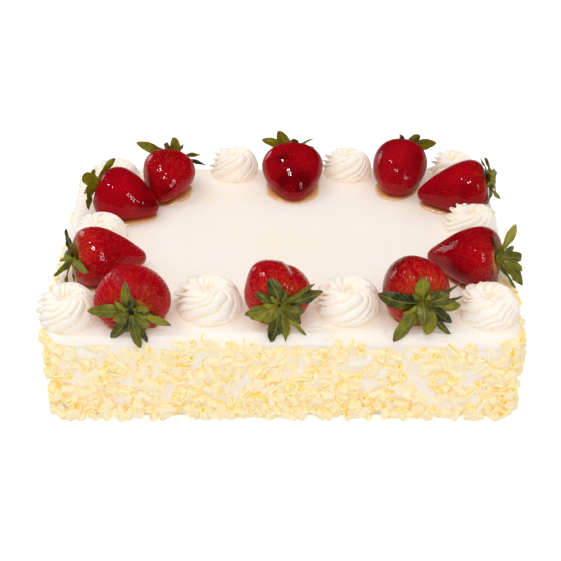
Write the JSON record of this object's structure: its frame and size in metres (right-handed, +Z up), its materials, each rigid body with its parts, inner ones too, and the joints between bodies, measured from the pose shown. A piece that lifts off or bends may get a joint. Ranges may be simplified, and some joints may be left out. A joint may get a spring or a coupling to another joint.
{
  "type": "strawberry sheet cake",
  "caption": "Rectangular sheet cake in whipped cream, its sides set with white chocolate curls and its top ringed by glazed berries with green caps and piped rosettes.",
  "frame": {"origin": "middle of the flat underside", "axes": "+X along the long side, +Y towards the back, +Z up"},
  "size_m": [0.3415, 0.2402, 0.1188],
  "materials": {
    "icing": "whipped cream spread with a palette knife, soft and faintly streaked",
    "cream": "piped whipped cream, soft satin",
    "chocolate": "white chocolate curls, waxy satin",
    "berry": "glazed fruit skin with seed pits, wet gloss",
    "seed": "small dry seeds under glaze",
    "leaf": "green sepals, veined and matt",
    "glaze": "amber fruit glaze, wet gloss"
  },
  "bodies": {
    "root": {"cake": "icing", "berry_1": "berry", "berry_2": "berry", "berry_3": "berry", "berry_4": "berry", "berry_5": "berry", "berry_6": "berry", "berry_7": "berry", "berry_8": "berry", "berry_9": "berry", "berry_10": "berry", "calyx_1": "leaf", "calyx_2": "leaf", "calyx_3": "leaf", "calyx_4": "leaf", "calyx_5": "leaf", "calyx_6": "leaf", "calyx_7": "leaf", "calyx_8": "leaf", "calyx_9": "leaf", "calyx_10": "leaf", "rosette_1": "cream", "rosette_2": "cream", "rosette_3": "cream", "rosette_4": "cream", "rosette_5": "cream", "rosette_6": "cream", "rosette_7": "cream", "rosette_8": "cream", "rosette_9": "cream", "rosette_10": "cream"}
  },
  "joints": []
}
